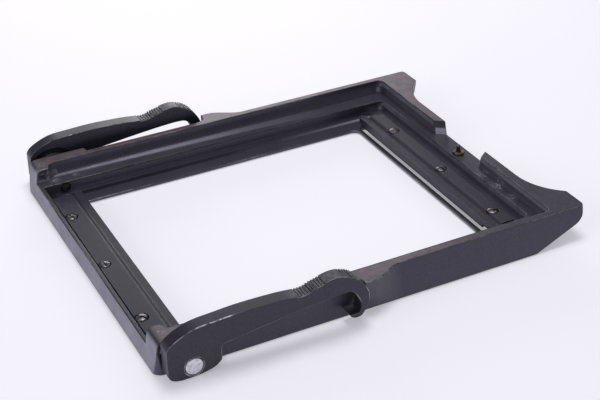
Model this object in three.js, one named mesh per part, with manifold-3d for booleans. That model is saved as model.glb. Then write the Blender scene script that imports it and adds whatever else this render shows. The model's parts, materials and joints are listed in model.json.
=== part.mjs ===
// Negative carrier: a black metal frame for a sheet of film, with two guide strips,
// two hooked levers that swing up at one end and a sprung locating pin at the other.
// Millimetres. X runs along the long side, Y across, Z up; the origin is under the
// middle of the carrier, on the surface it stands on.
import * as THREE from 'three';
import { mergeVertices } from 'three/addons/utils/BufferGeometryUtils.js';
import Module from 'manifold-3d';

const wasm = await Module();
wasm.setup();

// ---------------------------------------------------------------- driving dimensions
const LENGTH = 170;            // overall, tip of the horns to the hinge end
const WIDTH = 136;             // across the foot of the two long walls
const RIM_TOP = 12.6;          // height of the rim
const LEDGE_TOP = 7.1;         // height of the ledge inside the rim
const FLOOR = 1.2;             // thickness of the floor round the window
const WALL_LEAN = 3.5;         // how far each long wall leans in over its height
const BOSS = { x1: -60.9, fade: -60.3, lean: 0.8 };        // where the walls stand up for the pivots
const EAR = { rise: -13.5, x0: -9.1, x1: -6, reach: 1.9, fade: 7.5 };   // swelling past each hook
const END_LEAN = 2.0;          // how far the hinge end leans in over its height
const END_WALL = 2.8;          // thickness of the hinge end's wall at its foot
const END_CORNER = 3.2;        // radius of the hinge end's corners in plan
const RIM_INSIDE = 61.7;       // half width between the inner faces of the rim
const LEDGE_FRONT = 53.8;      // half width between the ledges
const RIM_RIGHT = { inner: 72, outer: 75.9 };              // the end rim between the horns
const CHANNEL = { x0: 62, x1: 68.2, floor: 3.0 };          // across the carrier beside the right strip
const BEVEL = { x0: 62.6, slope: 0.345, tip: 80.4 };       // rising underside of the horns
const NOTCH = { centre: 1.1, half: 14.4, flare: 3, slope: 1.6 };
const HORN = { start: 34.6, end: 53, sweep: 24, corner: 1.8 };
const POST = { x: -78.4, y: 57.8, corner: 3.4 };           // inner corner of each hinge-end post
const WINDOW = { x0: -69.8, x1: 51.4, y0: -46.9, y1: 45.4, corner: 3 };
const WEB = 1.8;               // bar left between the window and each slot
const SLOT = 3.2;              // width of the slot under each guide strip

const STRIP = { foot: 3.9, lip: 6.3, top: 7.4 };           // heights: land, lip and plate
const FLANGE = { foot: 2.6, thick: 2, short: 0.4 };        // hangs from each lip over its slot
const STRIP_FAR_END = 43.3;    // where the plates stop short of the far ledge
const LIP_FAR_END = 47.2;      // the lip of each strip runs on a little further
const SCREW_ROWS = [-44.8, -8.9, 27.2];                    // y of the three screws of each strip

const PIVOT = { x: -73.5, z: 4.2 };
const LEVER_GAP = 0.3;         // between a lever and the wall beside it
const LEVER_THICK = 5.3;
const OPEN_ANGLE = 95;         // how far a lever swings from its stop, in degrees
const NEAR_LIFT = 1.25;        // how far the near lever stands off its stop, in degrees
const PLUNGER = { x: 71.4, y: -1.5, sink: 0.35 };

// The lever's outline, measured from its pivot: along the carrier, and up.
const LEVER_TOP = [
  [-9, 8.5], [-7.5, 10.5], [-3.5, 12.8], [1.5, 14.4], [9, 14.9], [18.5, 15.3], [31, 14.9], [39.5, 14.2],
  [44.5, 15.6], [51, 17], [56, 16], [60, 13.4], [63, 9], [63.8, 6], [63, 2], [61, -1],
];
const LEVER_UNDERSIDE = [[50, 9.7], [37.5, 8.5], [11.5, 5.3]];
const LEVER_BELLY = [[9.4, -1], [7, -2.8], [3, -3.8], [-1.3, -4.1], [-5.5, -3.9], [-8.2, -2.7], [-9, -1]];
const GRIP = {
  pitch: 1.05,
  width: 0.52,
  depth: 0.36,
  rows: [{ from: 37.2, count: 10 }, { from: 53.9, count: 6 }],
};

// ---------------------------------------------------------------- derived dimensions
const LEFT = -LENGTH / 2;
const RIGHT = LENGTH / 2;
const FLANK = WIDTH / 2;
const POCKET_LEFT = LEFT + END_WALL;
const LEFT_LAND = { x0: POCKET_LEFT, x1: WINDOW.x0 - WEB - SLOT };
const RIGHT_LAND = { x0: WINDOW.x1 + WEB + SLOT, x1: CHANNEL.x0 };
const LEVER_BACK = FLANK + LEVER_GAP;
const LEVER_FACE = LEVER_BACK + LEVER_THICK;
// along each pivot, outwards from the pocket: screw head, the seat under it, pin end, thread end
const SEAT = {
  head: LEDGE_FRONT + 0.8,
  floor: LEDGE_FRONT + 2.2,
  pin: LEDGE_FRONT + 4,
  thread: LEDGE_FRONT + 7,
};
const STOP = { x: LEFT + 3.9, z: 10, radius: 1, inner: 59.2, outer: FLANK + 1.6 };
const BUSH_SEAT = LEDGE_TOP - PLUNGER.sink;
// each strip is a plate with a lower lip that hangs over its slot; the step lies between them
const STRIPS = [
  { name: 'left', outer: LEFT_LAND.x0 + 0.1, lip: WINDOW.x0 - 0.2, step: -74.4, screwX: LEFT + 5.0 },
  { name: 'right', outer: RIGHT_LAND.x1, lip: WINDOW.x1 + 1.6, step: 56.9, screwX: 58.6 },
];
const CLEAR = 2;               // how far a cutting shape runs past what it cuts
const rad = THREE.MathUtils.degToRad;

// ---------------------------------------------------------------- materials
function metal(color, roughness, metalness) {
  return new THREE.MeshStandardMaterial({ color, roughness, metalness });
}
const blackAnodised = metal(0x1d1d21, 0.45, 0.6);
const blackLever = metal(0x19191b, 0.5, 0.5);
const darkSteel = metal(0x4a4644, 0.35, 0.9);
const brightSteel = metal(0xc9c9cb, 0.25, 1);
const brass = metal(0x8d7f5a, 0.35, 0.9);

// ---------------------------------------------------------------- solids
function solid(geometry) {
  const g = geometry.clone();
  g.deleteAttribute('normal');
  g.deleteAttribute('uv');
  const merged = mergeVertices(g, 1e-5);
  return new wasm.Manifold(new wasm.Mesh({
    numProp: 3,
    vertProperties: new Float32Array(merged.attributes.position.array),
    triVerts: new Uint32Array(merged.index.array),
  }));
}

function solidFrom(points, faces) {
  const g = new THREE.BufferGeometry();
  g.setAttribute('position', new THREE.Float32BufferAttribute(points.flat(), 3));
  g.setIndex(faces.flat());
  return solid(g);
}

function mesh(name, body, material) {
  const out = body.getMesh();
  const g = new THREE.BufferGeometry();
  g.setAttribute('position', new THREE.BufferAttribute(new Float32Array(out.vertProperties), 3));
  g.setIndex(new THREE.BufferAttribute(new Uint32Array(out.triVerts), 1));
  g.computeVertexNormals();
  const m = new THREE.Mesh(g, material);
  m.name = name;
  return m;
}

// a plain block between two corners
function block(x0, x1, y0, y1, z0, z1) {
  const g = new THREE.BoxGeometry(x1 - x0, y1 - y0, z1 - z0);
  g.translate((x0 + x1) / 2, (y0 + y1) / 2, (z0 + z1) / 2);
  return solid(g);
}

function extrude(shape, depth, curveSegments) {
  return new THREE.ExtrudeGeometry(shape, { depth, bevelEnabled: false, curveSegments });
}

// an outline drawn in plan, raised from z0 to z1
function raise(shape, z0, z1, curveSegments = 8) {
  const g = extrude(shape, z1 - z0, curveSegments);
  g.translate(0, 0, z0);
  return solid(g);
}

// an outline drawn in X and Z, carried from y0 to y1
function carry(shape, y0, y1, curveSegments = 8) {
  const g = extrude(shape, y1 - y0, curveSegments);
  g.rotateX(Math.PI / 2);
  g.translate(0, y1, 0);
  return solid(g);
}

// an outline drawn in Y and Z, carried from x0 to x1
function carryAlongX(shape, x0, x1, curveSegments = 8) {
  const g = extrude(shape, x1 - x0, curveSegments);
  g.rotateX(Math.PI / 2);
  g.rotateZ(Math.PI / 2);
  g.translate(x0, 0, 0);
  return solid(g);
}

// a turned piece: points are radius and height, the axis is the line (x, y) upwards
function turned(points, x, y, segments = 24) {
  const g = new THREE.LatheGeometry(points.map(([r, z]) => new THREE.Vector2(r, z)), segments);
  g.rotateX(Math.PI / 2);
  g.translate(x, y, 0);
  return solid(g);
}

// a turned piece on a cross axis: points are radius and distance out from the middle plane
function turnedAcross(points, x, z, side, segments = 24) {
  const g = new THREE.LatheGeometry(points.map(([r, y]) => new THREE.Vector2(r, y)), segments);
  if (side < 0) g.rotateX(Math.PI);
  g.translate(x, 0, z);
  return solid(g);
}

function pin(x, y, radius, z0, z1, segments = 24) {
  return turned([[0, z0], [radius, z0], [radius, z1], [0, z1]], x, y, segments);
}

function crossPin(x, z, radius, y0, y1, side, segments = 24) {
  return turnedAcross([[0, y0], [radius, y0], [radius, y1], [0, y1]], x, z, side, segments);
}

function roundedRectangle(x0, x1, y0, y1, r) {
  const s = new THREE.Shape();
  s.moveTo(x0 + r, y0);
  s.lineTo(x1 - r, y0);
  s.absarc(x1 - r, y0 + r, r, -Math.PI / 2, 0);
  s.lineTo(x1, y1 - r);
  s.absarc(x1 - r, y1 - r, r, 0, Math.PI / 2);
  s.lineTo(x0 + r, y1);
  s.absarc(x0 + r, y1 - r, r, Math.PI / 2, Math.PI);
  s.lineTo(x0, y0 + r);
  s.absarc(x0 + r, y0 + r, r, Math.PI, Math.PI * 1.5);
  return s;
}

const toVectors = (points) => points.map(([a, b]) => new THREE.Vector2(a, b));

// ---------------------------------------------------------------- main frame
// Half width of the rim's top: nearly upright at the pivots, leaning in behind the levers,
// swollen out just past the hooks, leaning again from there, and rounded at each horn.
function rimTopHalf(x) {
  if (x < EAR.x0) {
    const settle = THREE.MathUtils.smoothstep(x, BOSS.x1, BOSS.fade);
    const lean = THREE.MathUtils.lerp(BOSS.lean, WALL_LEAN, settle);
    const rise = Math.max(0, (x - EAR.rise) / (EAR.x0 - EAR.rise));
    return FLANK - lean + WALL_LEAN * (1 - Math.sqrt(1 - rise ** 2));
  }
  const ease = THREE.MathUtils.smoothstep(x, EAR.x1, EAR.fade);
  const past = Math.max(0, x - (RIGHT - HORN.corner));
  const corner = HORN.corner - Math.sqrt(HORN.corner ** 2 - past ** 2);
  return THREE.MathUtils.lerp(FLANK + EAR.reach, FLANK - WALL_LEAN, ease) - corner;
}

// Where along X the frame's cross section is drawn, from the hinge end to the horns.
function stations() {
  const list = [LEFT, BOSS.x1, BOSS.fade];
  const earSteps = 5;
  for (let k = 0; k <= earSteps; k += 1) {
    const part = Math.sin((k / earSteps) * Math.PI / 2);
    list.push(THREE.MathUtils.lerp(EAR.rise, EAR.x0 - 0.05, part));
  }
  list.push(EAR.x0);
  for (let x = EAR.x1; x < EAR.fade; x += 1) list.push(x);
  list.push(EAR.fade);
  for (const back of [1, 0.65, 0.35, 0.1, 0]) list.push(RIGHT - HORN.corner * back);
  return list;
}

// The outside of the frame, as a row of cross sections.
function frameBody() {
  const points = [];
  const faces = [[0, 3, 2], [0, 2, 1]];
  stations().forEach((x, i) => {
    const half = rimTopHalf(x);
    const topX = i === 0 ? LEFT + END_LEAN : x;
    points.push([x, -FLANK, 0], [x, FLANK, 0], [topX, half, RIM_TOP], [topX, -half, RIM_TOP]);
  });
  const last = points.length - 4;
  for (let i = 0; i < last; i += 4) {
    for (let k = 0; k < 4; k += 1) {
      const a = i + k;
      const b = i + (k + 1) % 4;
      faces.push([a, b, b + 4], [a, b + 4, a + 4]);
    }
  }
  faces.push([last, last + 1, last + 2], [last, last + 2, last + 3]);
  return solidFrom(points, faces);
}

// Everything inside the rim above the ledge, leaving a post at each hinge-end corner.
function rimOpening() {
  const { x, y, corner: turn } = POST;
  const inset = 1.2;
  const corner = 2.6;
  const s = new THREE.Shape();
  s.moveTo(LEFT - CLEAR, -y);
  s.lineTo(x - 0.8, -y);
  s.quadraticCurveTo(x, -y, x + 0.4, -y - 1);
  s.quadraticCurveTo(x + inset, -RIM_INSIDE, x + inset + turn, -RIM_INSIDE);
  s.lineTo(RIM_RIGHT.inner - corner, -RIM_INSIDE);
  s.absarc(RIM_RIGHT.inner - corner, -RIM_INSIDE + corner, corner, -Math.PI / 2, 0);
  s.lineTo(RIM_RIGHT.inner, RIM_INSIDE - corner);
  s.absarc(RIM_RIGHT.inner - corner, RIM_INSIDE - corner, corner, 0, Math.PI / 2);
  s.lineTo(x + inset + turn, RIM_INSIDE);
  s.quadraticCurveTo(x + inset, RIM_INSIDE, x + 0.4, y + 1);
  s.quadraticCurveTo(x, y, x - 0.8, y);
  s.lineTo(LEFT - CLEAR, y);
  return raise(s, LEDGE_TOP, RIM_TOP + CLEAR, 6);
}

// The pocket between the ledges, with a rounded foot along both long sides.
function pocket() {
  const foot = 2.5;
  const s = new THREE.Shape();
  s.moveTo(-LEDGE_FRONT, LEDGE_TOP + CLEAR);
  s.lineTo(-LEDGE_FRONT, FLOOR + foot);
  s.absarc(-LEDGE_FRONT + foot, FLOOR + foot, foot, Math.PI, Math.PI * 1.5);
  s.lineTo(LEDGE_FRONT - foot, FLOOR);
  s.absarc(LEDGE_FRONT - foot, FLOOR + foot, foot, -Math.PI / 2, 0);
  s.lineTo(LEDGE_FRONT, LEDGE_TOP + CLEAR);
  const channel = roundedRectangle(CHANNEL.x0 - 6, CHANNEL.x1, -LEDGE_FRONT, LEDGE_FRONT, 2.2);
  return carryAlongX(s, POCKET_LEFT, CHANNEL.x0, 6)
    .add(raise(channel, CHANNEL.floor, LEDGE_TOP + CLEAR, 5));
}

// The raised seat of one guide strip.
function land({ x0, x1 }) {
  return block(x0, x1, -LEDGE_FRONT, STRIP_FAR_END, FLOOR / 2, STRIP.foot);
}

// The window, and the two slots that run beside it under the lips of the strips.
function lightOpenings() {
  const { x0, x1, y0, y1, corner } = WINDOW;
  const slot = (left) => raise(roundedRectangle(left, left + SLOT, y0, y1, 1), -CLEAR, STRIP.foot + CLEAR, 3);
  return raise(roundedRectangle(x0, x1, y0, y1, corner), -CLEAR, FLOOR + CLEAR, 6)
    .add(slot(LEFT_LAND.x1))
    .add(slot(x1 + WEB));
}

// The scalloped horn end, seen in plan: straight in the middle, sweeping out to each horn.
function hornEnd() {
  const { start, end, sweep } = HORN;
  const cx = RIM_RIGHT.outer + sweep;
  const angle = Math.asin((end - start) / sweep);
  const tipX = cx - sweep * Math.cos(angle);
  const cornerY = end + (RIGHT - tipX) / Math.tan(angle);
  const soft = 1.4;
  const far = RIGHT + 5;
  const s = new THREE.Shape();
  s.moveTo(RIM_RIGHT.outer, -start);
  s.lineTo(RIM_RIGHT.outer, start);
  s.absarc(cx, start, sweep, Math.PI, Math.PI - angle, true);
  s.quadraticCurveTo(RIGHT, cornerY, RIGHT + 0.4, cornerY + soft);
  s.lineTo(far, cornerY + soft);
  s.lineTo(far, -cornerY - soft);
  s.lineTo(RIGHT + 0.4, -cornerY - soft);
  s.quadraticCurveTo(RIGHT, -cornerY, tipX, -end);
  s.absarc(cx, -start, sweep, Math.PI + angle, Math.PI, true);
  return raise(s, -CLEAR, RIM_TOP + CLEAR, 10);
}

// The notch in the end rim, wider inside than outside and wider at the top than at the foot.
function endNotch() {
  const { inner, outer } = RIM_RIGHT;
  const halfAt = (x, z) => NOTCH.half + (NOTCH.flare * (outer - x)) / (outer - inner)
    - (NOTCH.slope * (RIM_TOP - z)) / (RIM_TOP - LEDGE_TOP);
  const points = [];
  for (const z of [LEDGE_TOP, RIM_TOP + 1]) {
    for (const [x, side] of [[inner - 1, -1], [outer + 1, -1], [outer + 1, 1], [inner - 1, 1]]) {
      points.push([x, NOTCH.centre + side * halfAt(x, z), z]);
    }
  }
  const faces = [[0, 2, 1], [0, 3, 2], [4, 5, 6], [4, 6, 7]];
  for (let k = 0; k < 4; k += 1) {
    const n = (k + 1) % 4;
    faces.push([k, n, n + 4], [k, n + 4, k + 4]);
  }
  return solidFrom(points, faces);
}

// The underside rises towards the horns and turns up steeply at their tips.
function undersideBevel() {
  const at = (x) => (x - BEVEL.x0) * BEVEL.slope;
  const low = BEVEL.x0 - 3;
  const s = new THREE.Shape();
  s.moveTo(low, at(low));
  s.lineTo(BEVEL.tip, at(BEVEL.tip));
  s.quadraticCurveTo(BEVEL.tip + 3, at(BEVEL.tip + 3), RIGHT - 0.7, 10);
  s.lineTo(RIGHT + 0.1, RIM_TOP + 0.6);
  s.lineTo(RIGHT + 4, RIM_TOP + 0.6);
  s.lineTo(RIGHT + 4, at(low));
  return carry(s, -FLANK - CLEAR, FLANK + CLEAR, 6);
}

// Rounds the hinge-end posts over at the top.
function hingeEndRounding() {
  const start = 9.8;
  const run = 2.4;
  const edge = LEFT + END_LEAN;
  const s = new THREE.Shape();
  s.moveTo(LEFT - CLEAR, start);
  s.lineTo(LEFT + (END_LEAN * start) / RIM_TOP, start);
  s.quadraticCurveTo(edge, RIM_TOP, edge + run, RIM_TOP);
  s.lineTo(edge + run, RIM_TOP + CLEAR);
  s.lineTo(LEFT - CLEAR, RIM_TOP + CLEAR);
  return carry(s, -FLANK - CLEAR, FLANK + CLEAR, 6);
}

// What is taken off one hinge-end corner to round it in plan.
function hingeCorner(side) {
  const r = END_CORNER;
  const s = new THREE.Shape();
  s.moveTo(LEFT - CLEAR, side * (FLANK + CLEAR));
  s.lineTo(LEFT - CLEAR, side * (FLANK - r));
  s.lineTo(LEFT, side * (FLANK - r));
  for (let k = 1; k <= 6; k += 1) {
    const a = (k / 6) * Math.PI / 2;
    s.lineTo(LEFT + r - r * Math.cos(a), side * (FLANK - r + r * Math.sin(a)));
  }
  s.lineTo(LEFT + r, side * (FLANK + CLEAR));
  return raise(s, -CLEAR, RIM_TOP + CLEAR);
}

// Bores for one lever's pivot pin and stop pin.
function pivotBores(side) {
  const pivot = turnedAcross([
    [0, LEDGE_FRONT - 1], [2.3, LEDGE_FRONT - 1], [2.3, SEAT.floor], [1.2, SEAT.floor],
    [1.2, SEAT.pin - 0.3], [2.4, SEAT.pin - 0.3], [2.4, FLANK + 1], [0, FLANK + 1],
  ], PIVOT.x, PIVOT.z, side);
  return pivot.add(crossPin(STOP.x, STOP.z, STOP.radius + 0.08, STOP.inner - 3, FLANK + 1, side, 16));
}

// Bore for the sprung pin's bush, with a seat for its flange.
function plungerBore() {
  return turned([
    [0, 0], [1.95, 0], [1.95, BUSH_SEAT], [2.5, BUSH_SEAT], [2.5, LEDGE_TOP + 1], [0, LEDGE_TOP + 1],
  ], PLUNGER.x, PLUNGER.y, 24);
}

function mainFrame() {
  let body = frameBody().subtract(rimOpening()).subtract(pocket());
  body = body.add(land(LEFT_LAND)).add(land(RIGHT_LAND));
  body = body.subtract(lightOpenings()).subtract(hornEnd()).subtract(endNotch());
  body = body.subtract(undersideBevel()).subtract(hingeEndRounding());
  for (const side of [-1, 1]) {
    body = body.subtract(hingeCorner(side)).subtract(pivotBores(side));
  }
  for (const y of SCREW_ROWS) {
    for (const { screwX } of STRIPS) {
      body = body.subtract(pin(screwX, y, 1.25, 1.6, STRIP.foot + 1, 16));
    }
  }
  return body.subtract(plungerBore());
}

// ---------------------------------------------------------------- guide strips
function guideStrip({ outer, lip, step, screwX }) {
  const toLip = Math.sign(lip - outer);
  const s = new THREE.Shape();
  s.moveTo(outer, STRIP.foot);
  s.lineTo(outer, STRIP.top);
  s.lineTo(step - toLip, STRIP.top);
  s.bezierCurveTo(step + toLip * 0.8, STRIP.top, step + toLip * 0.6, STRIP.lip, step + toLip * 2, STRIP.lip);
  s.lineTo(lip, STRIP.lip);
  s.lineTo(lip, STRIP.foot);
  let body = carry(s, -LEDGE_FRONT + 0.2, LIP_FAR_END, 8);
  const lipBack = step + toLip * 1.2;
  const plate = [lipBack, outer - toLip].sort((a, b) => a - b);
  body = body.subtract(block(...plate, STRIP_FAR_END, LIP_FAR_END + 1, 0, STRIP.top + 1));
  const nose = Math.abs(lip - lipBack) / 2;
  body = body.subtract(noseCutter((lip + lipBack) / 2, LIP_FAR_END - nose, nose));
  const hanging = [lip, lip - toLip * FLANGE.thick].sort((a, b) => a - b);
  const along = [WINDOW.y0 + FLANGE.short, WINDOW.y1 - FLANGE.short];
  body = body.add(block(...hanging, ...along, FLANGE.foot, STRIP.foot + 0.2));
  for (const y of SCREW_ROWS) body = body.subtract(countersink(screwX, y));
  return body;
}

function countersink(x, y) {
  return turned([
    [0, STRIP.foot - 1], [1.3, STRIP.foot - 1], [1.3, 5.3],
    [2.4, 6.6], [2.4, STRIP.top + 1], [0, STRIP.top + 1],
  ], x, y, 20);
}

// What is taken off the far end of a lip to leave a half-round nose.
function noseCutter(cx, cy, r) {
  const past = r + 0.02;
  const s = new THREE.Shape();
  s.moveTo(cx - past, cy);
  for (let k = 0; k <= 8; k += 1) {
    const a = Math.PI - (k / 8) * Math.PI;
    s.lineTo(cx + r * Math.cos(a), cy + r * Math.sin(a));
  }
  s.lineTo(cx + past, cy);
  s.lineTo(cx + past, cy + r + 1);
  s.lineTo(cx - past, cy + r + 1);
  return raise(s, 0, STRIP.top + 1);
}

// Slotted oval-head screw standing at (x, y); the slot is turned by `angle`.
function stripScrew(name, x, y, angle) {
  const body = turned([
    [0, 1.8], [1.0, 1.8], [1.0, 5.3], [2.15, 6.7], [2.15, 7.3], [1.7, 7.6], [0.9, 7.8], [0, 7.85],
  ], 0, 0, 20).subtract(block(-0.3, 0.3, -3, 3, 7.3, 9));
  const m = mesh(name, body, darkSteel);
  m.position.set(x, y, 0);
  m.rotation.z = angle;
  return m;
}

// ---------------------------------------------------------------- hook levers
// Everything of a lever is drawn round its pivot, at the angle at which it lies on its stop
// plus NEAR_LIFT.
const crown = new THREE.SplineCurve(toVectors(LEVER_TOP));

function leverOutline() {
  const s = new THREE.Shape();
  s.moveTo(...LEVER_TOP[0]);
  s.splineThru(toVectors(LEVER_TOP.slice(1)));
  s.quadraticCurveTo(58.6, -2.3, 56.6, -0.4);
  s.quadraticCurveTo(56.1, 0.4, 57, 0.4);
  s.lineTo(59.7, 0.4);
  s.quadraticCurveTo(61.1, 1.3, 60.5, 3.9);
  s.quadraticCurveTo(59.8, 6.4, 58.1, 8.5);
  s.quadraticCurveTo(57, 9.8, 55, 9.8);
  s.splineThru(toVectors(LEVER_UNDERSIDE));
  s.quadraticCurveTo(9.9, 5.1, 9.8, 3.6);
  s.lineTo(9.7, 0.4);
  s.splineThru(toVectors(LEVER_BELLY));
  return s;
}

// One groove of the finger grip: a slit across the crown, square to it.
function gripGroove(t) {
  const p = crown.getPointAt(t);
  const along = crown.getTangentAt(t).multiplyScalar(GRIP.width / 2);
  const up = new THREE.Vector2(-along.y, along.x).normalize();
  const corner = (side, height) => p.clone().addScaledVector(along, side).addScaledVector(up, height);
  return new THREE.Shape([
    corner(-1, -GRIP.depth), corner(1, -GRIP.depth), corner(1, 1), corner(-1, 1),
  ]);
}

// How far along the crown, as a share of its length, it first reaches `u`.
function shareAt(u) {
  let share = 0;
  while (crown.getPointAt(share).x < u) share += 0.0005;
  return share;
}

function gripGrooves() {
  const pitch = GRIP.pitch / crown.getLength();
  return GRIP.rows.flatMap(({ from, count }) => {
    const start = shareAt(from);
    return Array.from({ length: count }, (_, k) => gripGroove(start + (k + 0.5) * pitch));
  });
}

// The groove in the lever's back that the stop pin runs in: a ring sector round the pivot.
function stopGroove() {
  const du = STOP.x - PIVOT.x;
  const dw = STOP.z - PIVOT.z;
  const radius = Math.hypot(du, dw);
  const half = STOP.radius + 0.25;
  const start = Math.atan2(dw, du) + rad(NEAR_LIFT);
  const end = start - rad(OPEN_ANGLE);
  const s = new THREE.Shape();
  s.absarc(0, 0, radius + half, end, start, false);
  s.absarc(radius * Math.cos(start), radius * Math.sin(start), half, start, start + Math.PI, false);
  s.absarc(0, 0, radius - half, start, end, true);
  s.absarc(radius * Math.cos(end), radius * Math.sin(end), half, end + Math.PI, end + 2 * Math.PI, false);
  return s;
}

function hookLever(side) {
  const across = (shape, from, to, segments) => (side > 0
    ? carry(shape, from, to, segments)
    : carry(shape, -to, -from, segments));
  let body = across(leverOutline(), LEVER_BACK, LEVER_FACE, 6);
  for (const groove of gripGrooves()) {
    body = body.subtract(across(groove, LEVER_BACK - 1, LEVER_FACE + 1));
  }
  body = body.subtract(across(stopGroove(), LEVER_BACK - 1, LEVER_BACK + 1.6, 14));
  return body.subtract(turnedAcross([
    [0, LEVER_BACK - 1], [4.2, LEVER_BACK - 1], [4.2, LEVER_BACK + 0.6], [2.28, LEVER_BACK + 0.6],
    [2.28, LEVER_FACE - 3.2], [3.3, LEVER_FACE - 3.2], [3.3, LEVER_FACE + 1], [0, LEVER_FACE + 1],
  ], 0, 0, side, 32));
}

function pivotPin(side) {
  return turnedAcross([
    [0, SEAT.thread], [1.2, SEAT.thread], [1.2, SEAT.pin], [2.2, SEAT.pin],
    [2.2, LEVER_FACE - 3], [3.1, LEVER_FACE - 3],
    [3.1, LEVER_FACE - 0.3], [2.9, LEVER_FACE], [0, LEVER_FACE],
  ], PIVOT.x, PIVOT.z, side, 32);
}

function pivotScrew(side) {
  const { head, floor, thread } = SEAT;
  const body = turnedAcross([
    [0, head], [1.6, head], [2.0, head + 0.35], [2.0, floor],
    [1.0, floor], [1.0, thread - 0.4], [0, thread - 0.4],
  ], PIVOT.x, PIVOT.z, side, 20);
  const slot = side > 0 ? [head - 1, head + 0.45] : [-head - 0.45, -head + 1];
  return body.subtract(block(PIVOT.x - 3, PIVOT.x + 3, ...slot, PIVOT.z - 0.3, PIVOT.z + 0.3));
}

function pivotWasher(side) {
  const y0 = FLANK + 0.05;
  const y1 = y0 + 0.7;
  return turnedAcross([[2.5, y0], [3.9, y0], [3.9, y1], [2.5, y1], [2.5, y0]], PIVOT.x, PIVOT.z, side);
}

function stopPin(side) {
  return crossPin(STOP.x, STOP.z, STOP.radius, STOP.inner, STOP.outer, side, 16);
}

// ---------------------------------------------------------------- sprung locating pin
function plungerBush() {
  return turned([
    [1.45, 3.7], [1.8, 3.7], [1.8, BUSH_SEAT], [2.3, BUSH_SEAT], [2.3, 7.8], [2.0, 8.1], [1.05, 8.1],
    [1.05, 7.5], [1.45, 7.5], [1.45, 3.7],
  ], PLUNGER.x, PLUNGER.y, 24);
}

function plungerPin() {
  return turned([
    [0, 6.8], [1.3, 6.8], [1.3, 7.4], [0.9, 7.4], [0.9, 10.4], [0.6, 10.8], [0, 10.95],
  ], PLUNGER.x, PLUNGER.y, 20);
}

function plungerPlug() {
  return pin(PLUNGER.x, PLUNGER.y, 1.35, 3.7, 4.3, 20);
}

class Coil extends THREE.Curve {
  getPoint(t) {
    const a = 2 * Math.PI * 3.5 * t;
    return new THREE.Vector3(
      PLUNGER.x + 1.05 * Math.cos(a), PLUNGER.y + 1.05 * Math.sin(a), 4.5 + 2.1 * t,
    );
  }
}

function plungerSpring() {
  const wire = new THREE.Shape();
  wire.absarc(0, 0, 0.15, 0, 2 * Math.PI);
  return solid(new THREE.ExtrudeGeometry(wire, {
    steps: 36, extrudePath: new Coil(), curveSegments: 4, bevelEnabled: false,
  }));
}

// ---------------------------------------------------------------- assembly
const carrier = new THREE.Group();
carrier.add(mesh('main_frame', mainFrame(), blackAnodised));

const slotAngles = { left: [38, 8, 20], right: [62, 12, -35] };
for (const strip of STRIPS) {
  carrier.add(mesh(`${strip.name}_guide_strip`, guideStrip(strip), blackAnodised));
  SCREW_ROWS.forEach((y, k) => {
    const name = `${strip.name}_strip_screw_${k + 1}`;
    carrier.add(stripScrew(name, strip.screwX, y, rad(slotAngles[strip.name][k])));
  });
}

for (const [word, side, drop] of [['near', -1, 0], ['far', 1, NEAR_LIFT]]) {
  const lever = mesh(`${word}_hook_lever`, hookLever(side), blackLever);
  lever.position.set(PIVOT.x, 0, PIVOT.z);
  lever.rotation.y = rad(drop);
  carrier.add(lever);
  carrier.add(mesh(`${word}_pivot_pin`, pivotPin(side), brightSteel));
  carrier.add(mesh(`${word}_pivot_screw`, pivotScrew(side), darkSteel));
  carrier.add(mesh(`${word}_pivot_washer`, pivotWasher(side), brightSteel));
  carrier.add(mesh(`${word}_stop_pin`, stopPin(side), brightSteel));
}

carrier.add(mesh('plunger_bush', plungerBush(), brass));
carrier.add(mesh('plunger_pin', plungerPin(), darkSteel));
carrier.add(mesh('plunger_spring', plungerSpring(), brightSteel));
carrier.add(mesh('plunger_plug', plungerPlug(), brass));

export default carrier;
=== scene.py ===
# Looks for the negative carrier: rounded and worn edges with a painted highlight, turned screws and
# pins, black finishes with painted reflections and highlights, light and camera.
import json
import math

import bmesh
import bpy
from mathutils import Matrix, Vector

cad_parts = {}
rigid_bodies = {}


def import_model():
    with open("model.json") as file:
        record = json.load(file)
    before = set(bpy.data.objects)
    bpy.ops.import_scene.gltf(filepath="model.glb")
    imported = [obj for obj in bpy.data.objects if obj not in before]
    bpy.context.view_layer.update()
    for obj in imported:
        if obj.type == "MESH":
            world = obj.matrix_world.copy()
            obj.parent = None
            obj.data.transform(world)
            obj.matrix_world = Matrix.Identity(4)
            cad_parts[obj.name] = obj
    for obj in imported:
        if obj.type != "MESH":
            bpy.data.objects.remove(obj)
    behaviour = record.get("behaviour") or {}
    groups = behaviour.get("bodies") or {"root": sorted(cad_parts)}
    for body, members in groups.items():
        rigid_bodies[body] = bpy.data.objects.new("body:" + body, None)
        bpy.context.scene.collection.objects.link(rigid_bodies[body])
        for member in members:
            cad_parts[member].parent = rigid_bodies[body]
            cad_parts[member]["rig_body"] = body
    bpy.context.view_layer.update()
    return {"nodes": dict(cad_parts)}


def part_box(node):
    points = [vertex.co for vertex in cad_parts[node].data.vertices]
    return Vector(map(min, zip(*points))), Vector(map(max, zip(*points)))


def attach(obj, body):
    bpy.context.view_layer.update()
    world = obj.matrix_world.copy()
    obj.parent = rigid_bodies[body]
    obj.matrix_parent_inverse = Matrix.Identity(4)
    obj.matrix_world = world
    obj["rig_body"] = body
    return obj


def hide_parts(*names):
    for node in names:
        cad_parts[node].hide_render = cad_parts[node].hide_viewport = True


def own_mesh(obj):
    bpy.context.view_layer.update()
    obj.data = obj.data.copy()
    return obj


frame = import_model()

MM = 0.001
EDGE_ROUNDING = 0.35 * MM        # rounding of the sharp edges of the frame and levers
SMALL_ROUNDING = 0.16 * MM       # the same on the strips
ROUNDING_SEGMENTS = 3
SHARP = math.radians(34)         # edges that turn more than this are rounded
SAME_PLACE = 0.002 * MM          # vertices closer than this are one
FLAT = math.radians(0.8)         # faces that turn less than this are one
CRISP = math.radians(35)         # turned pieces keep an edge where they turn more than this

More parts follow.
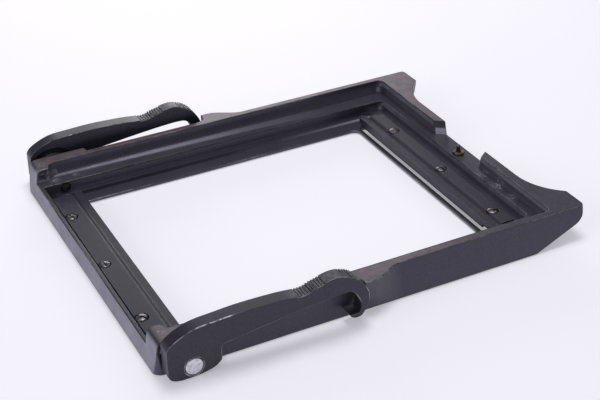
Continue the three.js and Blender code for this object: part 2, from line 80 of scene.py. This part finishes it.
# The camera stands at AZIMUTH and ELEVATION round AIM, which lies on the table.
AZIMUTH = math.radians(-26.10)
ELEVATION = math.radians(31.04)
ROLL = math.radians(-1.62)
AIM = Vector((0.0052, 0.0077, 0.0))
CAMERA_DISTANCE = 0.5221
LENS = 80.88
SENSOR_WIDTH = 36
NEAREST_SEEN = 0.01

# How far each screw's slot is turned from the Y axis, seen from above.
SLOT_TURN = {
    "left_strip_screw_1": 38, "left_strip_screw_2": 8, "left_strip_screw_3": 20,
    "right_strip_screw_1": 62, "right_strip_screw_2": 12, "right_strip_screw_3": -35,
}

RIM_TOP = Vector(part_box("main_frame")[1]).z


# ------------------------------------------------------------------ node helpers
def new_material(name):
    material = bpy.data.materials.new(name)
    material.use_nodes = True
    tree = material.node_tree
    shader = tree.nodes["Principled BSDF"]
    return material, tree, shader


def coordinates(tree, kind="Object"):
    return tree.nodes.new("ShaderNodeTexCoord").outputs[kind]


def noise(tree, scale, detail=4.0, roughness=0.55, stretch=None):
    """A noise field in object space; stretch squeezes it along an axis."""
    texture = tree.nodes.new("ShaderNodeTexNoise")
    texture.inputs["Scale"].default_value = scale
    texture.inputs["Detail"].default_value = detail
    texture.inputs["Roughness"].default_value = roughness
    source = coordinates(tree)
    if stretch:
        squeeze = tree.nodes.new("ShaderNodeMapping")
        squeeze.inputs["Scale"].default_value = stretch
        tree.links.new(source, squeeze.inputs["Vector"])
        source = squeeze.outputs["Vector"]
    tree.links.new(source, texture.inputs["Vector"])
    return texture.outputs["Fac"]


def remap(tree, value, low, high, to_low=0.0, to_high=1.0):
    node = tree.nodes.new("ShaderNodeMapRange")
    node.inputs["From Min"].default_value = low
    node.inputs["From Max"].default_value = high
    node.inputs["To Min"].default_value = to_low
    node.inputs["To Max"].default_value = to_high
    tree.links.new(value, node.inputs["Value"])
    return node.outputs["Result"]


def math_node(tree, operation, a, b):
    node = tree.nodes.new("ShaderNodeMath")
    node.operation = operation
    node.use_clamp = True
    for socket, value in zip(node.inputs, (a, b)):
        if isinstance(value, (int, float)):
            socket.default_value = value
        else:
            tree.links.new(value, socket)
    return node.outputs["Value"]


def blend_colours(tree, mask, first, second):
    node = tree.nodes.new("ShaderNodeMix")
    node.data_type = "RGBA"
    tree.links.new(mask, node.inputs["Factor"])
    for socket, value in ((node.inputs[6], first), (node.inputs[7], second)):
        if isinstance(value, tuple):
            socket.default_value = (*value, 1.0)
        else:
            tree.links.new(value, socket)
    return node.outputs[2]


def bump(tree, shader, height, distance):
    node = tree.nodes.new("ShaderNodeBump")
    node.inputs["Strength"].default_value = 1.0
    node.inputs["Distance"].default_value = distance
    tree.links.new(height, node.inputs["Height"])
    tree.links.new(node.outputs["Normal"], shader.inputs["Normal"])


def component(tree, axis, kind="Object"):
    """One component of the place on the object, or of its surface normal."""
    split = tree.nodes.new("ShaderNodeSeparateXYZ")
    tree.links.new(coordinates(tree, kind), split.inputs[0])
    return split.outputs[axis]


def upward(tree):
    """1 on faces that look up when the carrier lies at rest, 0 on its walls."""
    return remap(tree, component(tree, "Z", "Normal"), 0.75, 0.95)


def end_reflection_mask(tree):
    """1 on the outer face of the end wall beside the pivots, where a painted reflection of the pale
    table goes.
    """
    return remap(tree, component(tree, "X", "Normal"), -0.97, -0.80, 1.0, 0.0)


def above(tree, height):
    """1 above a height, falling to 0 a little below it."""
    return remap(tree, component(tree, "Z"), height - 0.4 * MM, height)


def handled(tree):
    """1 where fingers rub the rim, fading out towards the horn on the near side."""
    along = tree.nodes.new("ShaderNodeVectorMath")
    along.operation = "DOT_PRODUCT"
    tree.links.new(coordinates(tree), along.inputs[0])
    along.inputs[1].default_value = (1.0, -0.6, 0.0)
    return remap(tree, along.outputs["Value"], 60 * MM, 92 * MM, 1.0, 0.0)


def spot(tree, centre, reach):
    """1 near a place on the object, falling to 0 at `reach` from it."""
    away = tree.nodes.new("ShaderNodeVectorMath")
    away.operation = "DISTANCE"
    tree.links.new(coordinates(tree), away.inputs[0])
    away.inputs[1].default_value = centre
    return remap(tree, away.outputs["Value"], 0.35 * reach, reach, 1.0, 0.0)


def spots(tree, places):
    """The strongest of several spots, each given as x, y, z and reach in millimetres."""
    mask = None
    for x, y, z, reach in places:
        one = spot(tree, (x * MM, y * MM, z * MM), reach * MM)
        mask = one if mask is None else math_node(tree, "MAXIMUM", mask, one)
    return mask


# ------------------------------------------------------------------ materials
SHEEN = (0.84, 0.80, 1.0, 1.0)   # the cool tint of the light that the black finish gives back
RUBBED = (0.34, 0.33, 0.36)      # where the black is rubbed nearly away
DUST = (0.30, 0.30, 0.31)
# Painted highlight, with some rubbed wear: the colour of the up-facing grip crests.
CREST_HIGHLIGHT = (0.135, 0.132, 0.145)    # the tops of the grips' ribs
GRIME = (0.03, 0.028, 0.025)


def black_coat(
        name, dark, light, rough, ior=1.5, grain=0.02 * MM, dust=0.0, top_grain_sheen=None, painted_end_reflection=None,
        rubbed_top=None, rubbed_at=(), crest_highlight_at=()):
    """Satin black with cloudy gloss, fine grain, streaks and dust.

    It can have a lighter grain on its up-facing faces that is partly painted reflection, a painted
    reflection on the end face, rubbing on the rim and at given places, and grip crests lightened by
    rubbing and a painted highlight.
    """
    material, tree, shader = new_material(name)
    clouds = noise(tree, 55, 3)
    streaks = noise(tree, 140, 5, 0.6, (0.12, 1.0, 1.0))
    coat = blend_colours(tree, remap(tree, clouds, 0.35, 0.7), dark, light)
    streaks = remap(tree, streaks, 0.56, 0.72, 0.0, 0.55)
    coat = blend_colours(tree, streaks, coat, tuple(1.5 * c for c in light))
    mottle = remap(tree, noise(tree, 1500, 2, 0.7), 0.42, 0.68, 0.0, 0.6)
    coat = blend_colours(tree, mottle, coat, tuple(1.7 * c for c in light))
    # A fine grain on the up-facing faces, in a lighter colour that is also a painted reflection of
    # the bright surroundings.
    if top_grain_sheen:
        grains = remap(tree, noise(tree, 1700, 3, 0.7), 0.44, 0.60)
        grain_sheen_mask = math_node(tree, "MULTIPLY", upward(tree), grains)
        coat = blend_colours(tree, grain_sheen_mask, coat, top_grain_sheen)
    # Painted reflection: the faces that look along -X get a patchy lighter grey, standing in for
    # the pale table they reflect.
    if painted_end_reflection:
        patches = remap(tree, noise(tree, 160, 4, 0.6), 0.30, 0.65, 0.55, 1.0)
        patches = math_node(tree, "MULTIPLY", end_reflection_mask(tree), patches)
        coat = blend_colours(tree, patches, coat, painted_end_reflection)
    if rubbed_top:
        top = math_node(tree, "MULTIPLY", upward(tree), above(tree, RIM_TOP - 0.3 * MM))
        top = math_node(tree, "MULTIPLY", top, handled(tree))
        patches = remap(tree, noise(tree, 240, 4, 0.65), 0.32, 0.60, 0.45, 1.0)
        coat = blend_colours(tree, math_node(tree, "MULTIPLY", top, patches), coat, rubbed_top)
    if rubbed_at:
        fine = remap(tree, noise(tree, 1100, 5, 0.75), 0.50, 0.60)
        rubbed = math_node(tree, "MULTIPLY", spots(tree, rubbed_at), fine)
        coat = blend_colours(tree, rubbed, coat, RUBBED)
    # Mottled lighter patches on the up-facing grip crests: rubbed wear, also a painted highlight.
    if crest_highlight_at:
        lit_crests = math_node(tree, "MULTIPLY", spots(tree, crest_highlight_at), upward(tree))
        patches = remap(tree, noise(tree, 620, 4, 0.7), 0.36, 0.62, 0.25, 1.0)
        coat = blend_colours(tree, math_node(tree, "MULTIPLY", lit_crests, patches), coat, CREST_HIGHLIGHT)
    if dust:
        specks = remap(tree, noise(tree, 1300, 2), 0.70, 0.76, 0.0, dust)
        patches = remap(tree, noise(tree, 70, 2), 0.45, 0.65)
        coat = blend_colours(tree, math_node(tree, "MULTIPLY", specks, patches), coat, DUST)
    tree.links.new(coat, shader.inputs["Base Color"])
    gloss = math_node(tree, "ADD", remap(tree, clouds, 0.3, 0.7, -0.05, 0.07), rough)
    tree.links.new(gloss, shader.inputs["Roughness"])
    shader.inputs["Specular Tint"].default_value = SHEEN
    shader.inputs["IOR"].default_value = ior
    bump(tree, shader, noise(tree, 2600, 3, 0.6), grain)
    return material


def worn_and_highlit_edge(name, coat, bare, amount, worn_at=()):
    """The rounded edges of a black part, where the coat has rubbed through here and there; their
    lighter colour is also a painted highlight along the edges.
    """
    material, tree, shader = new_material(name)
    long_wear = remap(tree, noise(tree, 34, 3), 0.44, 0.68)
    if worn_at:
        long_wear = math_node(tree, "MAXIMUM", long_wear, spots(tree, worn_at))
    fine_wear = remap(tree, noise(tree, 420, 4, 0.7), 0.34, 0.56)
    wear = math_node(tree, "MULTIPLY", math_node(tree, "MULTIPLY", long_wear, fine_wear), amount)
    colour = blend_colours(tree, wear, coat, bare)
    tree.links.new(colour, shader.inputs["Base Color"])
    tree.links.new(remap(tree, wear, 0, 1, 0.40, 0.28), shader.inputs["Roughness"])
    tree.links.new(remap(tree, wear, 0, 1, 0.0, 0.9), shader.inputs["Metallic"])
    bump(tree, shader, noise(tree, 1800, 3), 0.015 * MM)
    return material


def turned_metal(name, dark, light, rough, grime=0.3):
    """Turned metal with dull patches, grime and fine tool marks."""
    material, tree, shader = new_material(name)
    patches = remap(tree, noise(tree, 900, 4), 0.45, 0.65)
    colour = blend_colours(tree, patches, light, dark)
    dirt = remap(tree, noise(tree, 2400, 3), 0.55, 0.72, 0.0, grime)
    colour = blend_colours(tree, dirt, colour, GRIME)
    tree.links.new(colour, shader.inputs["Base Color"])
    shader.inputs["Metallic"].default_value = 1.0
    gloss = remap(tree, noise(tree, 1500, 4), 0.3, 0.7, rough - 0.08, rough + 0.12)
    tree.links.new(gloss, shader.inputs["Roughness"])
    bump(tree, shader, noise(tree, 9000, 2), 0.006 * MM)
    return material


# Where handling has rubbed the black away: x, y, z and reach, in millimetres of the shared frame
# at rest.
RUBBED_FRAME = (
    (-80.5, 62, 12.6, 2.6), (-82.5, 59.5, 11.5, 2.2), (-78, 58.4, 10.5, 1.8),
    (-76.5, 56.8, 7.1, 2.6), (-68, 57.5, 7.1, 1.8), (-79.5, -62, 12.6, 1.8),
    (70.5, -20, 7.1, 3), (70.2, -30, 7.1, 4), (70.2, -40, 7.1, 3),
)
RUBBED_EDGES = (
    (80, 62, 12, 9), (84, 55, 10, 6), (84, -57, 12, 8),
    (-9, -69, 12.6, 5), (-1, -68, 12.6, 6), (8, -65, 12.6, 6),
    (-80, 58, 12, 4), (74, 38, 12.6, 6), (75, -28, 12.6, 5),
)
RUBBED_LEVERS = (
    (-69, -73.6, 17.5, 7), (-62, -73.6, 18.6, 5), (-78, -73.6, 14.5, 4), (-11.5, -73.6, 12, 4),
    (-34, -71, 18.8, 6), (-28.5, -71, 20, 5), (-22, -73.6, 21, 6), (-16.5, -71, 19.5, 6),
    (-66, 68.5, 17.5, 5), (-33, 71, 18, 6), (-28, 71, 19.4, 5), (-17, 71, 18, 6),
)
# The crowns of the two grips, in the same way; their up-facing faces get mottled lighter patches,
# rubbed wear with a painted highlight.
GRIPS = (
    (-34, -71, 18.8, 6), (-28.5, -71, 20, 6), (-22, -71, 21, 6), (-16.5, -71, 19.5, 7),
    (-34, 71, 17.6, 6), (-28, 71, 19.4, 6), (-22, 71, 20.4, 6), (-16.5, 71, 18.6, 7),
)

# The frame's up-facing faces get a lighter grain, partly painted reflection; its end faces get a
# painted reflection of the pale table.
black_frame = black_coat(
    "black_frame", (0.016, 0.0155, 0.023), (0.029, 0.028, 0.038), 0.40, 1.80, 0.026 * MM, 0.5,
    top_grain_sheen=(0.060, 0.058, 0.070), painted_end_reflection=(0.20, 0.195, 0.235),
    rubbed_top=(0.150, 0.124, 0.130), rubbed_at=RUBBED_FRAME,
)
black_strip = black_coat("black_strip", (0.014, 0.0132, 0.020), (0.026, 0.025, 0.034), 0.44, 1.5)
black_lever = black_coat(
    "black_lever", (0.012, 0.0115, 0.017), (0.021, 0.020, 0.028), 0.42, 1.56, crest_highlight_at=GRIPS,
)
# The rounded edges: rubbed-through wear, lighter along the edges also as a painted highlight.
frame_edge = worn_and_highlit_edge(
    "frame_edge", (0.028, 0.027, 0.036), (0.36, 0.35, 0.37), 0.8, RUBBED_EDGES,
)
lever_edge = worn_and_highlit_edge(
    "lever_edge", (0.036, 0.035, 0.042), (0.56, 0.55, 0.58), 0.95, RUBBED_LEVERS,
)
dark_steel = turned_metal("dark_steel", (0.06, 0.057, 0.062), (0.17, 0.16, 0.165), 0.34)
bright_steel = turned_metal(
    "bright_steel", (0.52, 0.52, 0.56), (0.74, 0.74, 0.78), 0.36, grime=0.1,
)
old_brass = turned_metal("old_brass", (0.10, 0.085, 0.06), (0.34, 0.29, 0.19), 0.36)


# ------------------------------------------------------------------ pieces
def add_object(name, mesh, materials):
    piece = bpy.data.objects.new(name, mesh)
    bpy.context.scene.collection.objects.link(piece)
    for material in materials:
        mesh.materials.append(material)
    return piece


def apply_modifiers(piece):
    bpy.context.view_layer.update()
    shown = piece.evaluated_get(bpy.context.evaluated_depsgraph_get())
    mesh = bpy.data.meshes.new_from_object(shown)
    piece.modifiers.clear()
    piece.data = mesh


def stand_for(piece, node):
    """Rides the piece on the node's body and hides the node behind it."""
    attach(piece, frame["nodes"][node]["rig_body"])
    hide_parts(node)


def is_rounded(edge):
    return len(edge.link_faces) == 2 and edge.is_convex and edge.calc_face_angle() > SHARP


def room_at(edge, vert):
    """How wide a rounding of the edge can be at one end before it runs over its neighbours."""
    along = (edge.other_vert(vert).co - vert.co).normalized()
    others = [other for other in vert.link_edges if other is not edge]
    ends_here = not any(is_rounded(other) for other in others)
    room = 1.0
    for other in others:
        leg = other.other_vert(vert).co - vert.co
        across = (leg - along * leg.dot(along)).length
        if ends_here or across > 0.35 * leg.length:
            room = min(room, 0.3 * across)
        if is_rounded(other):
            half_turn = (math.pi - along.angle(leg)) / 2
            room = min(room, 0.45 * edge.calc_length() / max(math.tan(half_turn), 0.01))
    return room


def weigh_edges(shape, width):
    """Marks the outward sharp edges with the share of the full rounding that fits there.

    Along a smooth run of edges the width changes only slowly, so that the rounding has no steps.
    """
    weight = shape.edges.layers.float.new("bevel_weight_edge")
    rounded = [edge for edge in shape.edges if is_rounded(edge)]
    wide = {edge: min(width, *(room_at(edge, vert) for vert in edge.verts)) for edge in rounded}
    joints = []
    for vert in shape.verts:
        pair = [edge for edge in vert.link_edges if edge in wide]
        if len(pair) == 2:
            first, second = pair
            legs = [edge.other_vert(vert).co - vert.co for edge in pair]
            turn = min(math.pi - legs[0].angle(legs[1]), math.pi / 2)
            step = 0.4 * min(first.calc_length(), second.calc_length()) * math.sin(turn)
            joints.append((first, second, step))
    changed = True
    while changed:
        changed = False
        for first, second, step in joints:
            for slim, broad in ((first, second), (second, first)):
                if wide[broad] > wide[slim] + step + 1e-7:
                    wide[broad] = wide[slim] + step
                    changed = True
    for edge in rounded:
        edge[weight] = wide[edge] / width


def rounded_copy(node, coat, edge, width):
    """A copy of a CAD node's shape with rounded, worn edges that carry a painted highlight, which
    stands for the node.
    """
    mesh = bpy.data.meshes.new(node + "_fine")
    shape = bmesh.new()
    shape.from_mesh(frame["nodes"][node].data)
    bmesh.ops.remove_doubles(shape, verts=shape.verts, dist=SAME_PLACE)
    bmesh.ops.dissolve_limit(shape, angle_limit=FLAT, verts=shape.verts, edges=shape.edges)
    for face in shape.faces:
        face.material_index = 0
        face.smooth = True
    shape.normal_update()
    weigh_edges(shape, width)
    shape.to_mesh(mesh)
    shape.free()
    piece = add_object(node + "_fine", mesh, [coat, edge])
    rounding = piece.modifiers.new("rounding", "BEVEL")
    rounding.width = width
    rounding.segments = ROUNDING_SEGMENTS
    rounding.limit_method = "WEIGHT"
    rounding.use_clamp_overlap = False
    rounding.loop_slide = False
    rounding.material = 1
    weighted = piece.modifiers.new("normals", "WEIGHTED_NORMAL")
    weighted.keep_sharp = False
    apply_modifiers(piece)
    stand_for(piece, node)


def lathe(name, profile, material, turns=48):
    """A turned piece about the Z axis, from radii and heights in millimetres, axis to axis."""
    shape = bmesh.new()
    rings = []
    for radius, height in profile:
        if radius == 0:
            rings.append([shape.verts.new((0, 0, height * MM))] * turns)
            continue
        ring = []
        for k in range(turns):
            a = 2 * math.pi * k / turns
            x, y = radius * MM * math.cos(a), radius * MM * math.sin(a)
            ring.append(shape.verts.new((x, y, height * MM)))
        rings.append(ring)
    for lower, upper in zip(rings, rings[1:]):
        for k in range(turns):
            corners = [lower[k], lower[(k + 1) % turns], upper[(k + 1) % turns], upper[k]]
            face = shape.faces.new(list(dict.fromkeys(corners)))
            face.smooth = True
    bmesh.ops.recalc_face_normals(shape, faces=shape.faces)
    mesh = bpy.data.meshes.new(name)
    shape.to_mesh(mesh)
    shape.free()
    return add_object(name, mesh, [material])


def box_mesh(name, low, high):
    shape = bmesh.new()
    bmesh.ops.create_cube(shape, size=1.0)
    for vert in shape.verts:
        vert.co = Vector(low[i] if vert.co[i] < 0 else high[i] for i in range(3))
    mesh = bpy.data.meshes.new(name)
    shape.to_mesh(mesh)
    shape.free()
    return mesh


def cut(piece, cutter_mesh):
    """Cuts the cutter's shape out of the piece."""
    cutter = bpy.data.objects.new("cutter", cutter_mesh)
    bpy.context.scene.collection.objects.link(cutter)
    slit = piece.modifiers.new("slit", "BOOLEAN")
    slit.operation = "DIFFERENCE"
    slit.solver = "EXACT"
    slit.object = cutter
    apply_modifiers(piece)
    bpy.data.objects.remove(cutter)


def crisp(piece):
    """Smooth shading that keeps the turned edges."""
    piece.data.polygons.foreach_set("use_smooth", [True] * len(piece.data.polygons))
    piece.data.set_sharp_from_angle(angle=CRISP)


# The strip screws' heads, in millimetres.
HEAD_RADIUS = 2.15
HEAD_DOME = 0.62
SLOT_HALF = 0.24


def strip_screw(node):
    """Slotted oval-head screw: a lens head in its countersink."""
    low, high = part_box(node)
    foot, crown = low[2] / MM, high[2] / MM
    angles = [math.radians(degrees) for degrees in range(0, 90, 11)]
    dome = [
        (HEAD_RADIUS * math.cos(a), crown - HEAD_DOME + HEAD_DOME * math.sin(a)) for a in angles
    ]
    profile = [(0, foot), (1.0, foot), (1.0, 5.3), (2.1, crown - 1.0), *dome, (0, crown)]
    piece = lathe(node + "_fine", profile, dark_steel)
    slot_low = (-SLOT_HALF * MM, -3 * MM, (crown - 0.5) * MM)
    slot_high = (SLOT_HALF * MM, 3 * MM, (crown + 1) * MM)
    cut(piece, box_mesh("slot", slot_low, slot_high))
    crisp(piece)
    middle = (Vector(low) + Vector(high)) / 2
    turn = Matrix.Rotation(math.radians(SLOT_TURN[node]), 4, "Z")
    piece.data.transform(Matrix.Translation((middle.x, middle.y, 0)) @ turn)
    stand_for(piece, node)


def pivot_pin(node, side):
    """The bright headed pin that a lever turns on, with a chamfered head and a dimpled centre."""
    low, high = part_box(node)
    head = (high[1] if side > 0 else -low[1]) / MM
    inner = (low[1] if side > 0 else -high[1]) / MM
    profile = [
        (0, inner), (1.2, inner), (1.2, inner + 3), (2.2, inner + 3),
        (2.2, head - 3), (3.1, head - 3), (3.1, head - 0.28), (3.06, head - 0.14),
        (2.94, head - 0.03), (2.82, head), (0.5, head - 0.02), (0, head - 0.08),
    ]
    piece = lathe(node + "_fine", profile, bright_steel, 64)
    crisp(piece)
    outwards = Matrix.Rotation(math.radians(-90 * side), 4, "X")
    axis = ((low[0] + high[0]) / 2, 0, (low[2] + high[2]) / 2)
    piece.data.transform(Matrix.Translation(axis) @ outwards)
    stand_for(piece, node)


def spring_coil(node):
    """The coil under the sprung pin, a copy of its CAD shape that keeps its length, though the real
    coil shortens as the pin is pushed in.
    """
    piece = add_object(node + "_fine", frame["nodes"][node].data.copy(), [])
    piece.data.materials.clear()
    piece.data.materials.append(bright_steel)
    stand_for(piece, node)
    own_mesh(piece)


rounded_copy("main_frame", black_frame, frame_edge, EDGE_ROUNDING)
for node in ("left_guide_strip", "right_guide_strip"):
    rounded_copy(node, black_strip, frame_edge, SMALL_ROUNDING)
for node in ("near_hook_lever", "far_hook_lever"):
    rounded_copy(node, black_lever, lever_edge, EDGE_ROUNDING)
for node in SLOT_TURN:
    strip_screw(node)
pivot_pin("near_pivot_pin", -1)
pivot_pin("far_pivot_pin", 1)
spring_coil("plunger_spring")

# The small CAD pieces that stay as they are, by a word in their names, and their metals.
CARRIED = {
    "pivot_screw": dark_steel, "pivot_washer": bright_steel, "stop_pin": bright_steel,
    "plunger_bush": old_brass, "plunger_pin": dark_steel, "plunger_plug": old_brass,
}
for name, piece in frame["nodes"].items():
    for word, material in CARRIED.items():
        if word in name:
            piece.data.materials.clear()
            piece.data.materials.append(material)


# ------------------------------------------------------------------ stage, light and camera
TABLE_GLOW = 0.34                # the table gives off a little light, as a light table does
TABLE_REACH = 1.6
TABLE_DROP = 0.0002              # how far the table lies below the object's lowest faces
SKY_COLOUR = (0.90, 0.88, 1.0, 1)
SKY_STRENGTH = 0.24


def stage():
    """The pale table."""
    mesh = bpy.data.meshes.new("table")
    signs = ((-1, -1), (1, -1), (1, 1), (-1, 1))
    corners = [(x * TABLE_REACH, y * TABLE_REACH, -TABLE_DROP) for x, y in signs]
    mesh.from_pydata(corners, [], [(0, 1, 2, 3)])
    material, tree, shader = new_material("white_paper")
    soft = remap(tree, noise(tree, 3.0, 2), 0.3, 0.7)
    paper = blend_colours(tree, soft, (0.85, 0.84, 0.90), (0.875, 0.865, 0.915))
    tree.links.new(paper, shader.inputs["Base Color"])
    shader.inputs["Roughness"].default_value = 0.7
    shader.inputs["Emission Color"].default_value = (0.95, 0.94, 1.0, 1)
    shader.inputs["Emission Strength"].default_value = TABLE_GLOW
    add_object("table", mesh, [material])


def soft_light(name, place, aim, width, height, power):
    """A white softbox that faces its aim."""
    data = bpy.data.lights.new(name, "AREA")
    data.shape = "RECTANGLE"
    data.size = width
    data.size_y = height
    data.energy = power
    light = bpy.data.objects.new(name, data)
    light.location = place
    light.rotation_euler = (Vector(place) - Vector(aim)).to_track_quat("Z", "Y").to_euler()
    bpy.context.scene.collection.objects.link(light)


def camera():
    data = bpy.data.cameras.new("camera")
    data.lens = LENS
    data.sensor_width = SENSOR_WIDTH
    data.clip_start = NEAREST_SEEN
    view = bpy.data.objects.new("camera", data)
    back = Vector((
        math.sin(AZIMUTH) * math.cos(ELEVATION),
        -math.cos(AZIMUTH) * math.cos(ELEVATION),
        math.sin(ELEVATION),
    ))
    turn = back.to_track_quat("Z", "Y").to_matrix() @ Matrix.Rotation(ROLL, 3, "Z")
    view.matrix_world = Matrix.Translation(AIM + CAMERA_DISTANCE * back) @ turn.to_4x4()
    bpy.context.scene.collection.objects.link(view)
    bpy.context.scene.camera = view


def world():
    sky = bpy.data.worlds.new("studio")
    sky.use_nodes = True
    background = sky.node_tree.nodes["Background"]
    background.inputs["Color"].default_value = SKY_COLOUR
    background.inputs["Strength"].default_value = SKY_STRENGTH
    bpy.context.scene.world = sky


stage()
world()
soft_light("key_softbox", (0.12, 0.16, 0.95), (0.04, 0, 0), 0.4, 0.4, 3.6)
soft_light("low_back_softbox", (0.27, 0.86, 0.20), (0.02, 0, 0), 0.46, 0.28, 2.1)
soft_light("left_softbox", (-0.80, -0.18, 0.35), (0, 0, 0), 0.6, 0.5, 1.4)
camera()
bpy.context.scene.view_settings.view_transform = "Standard"
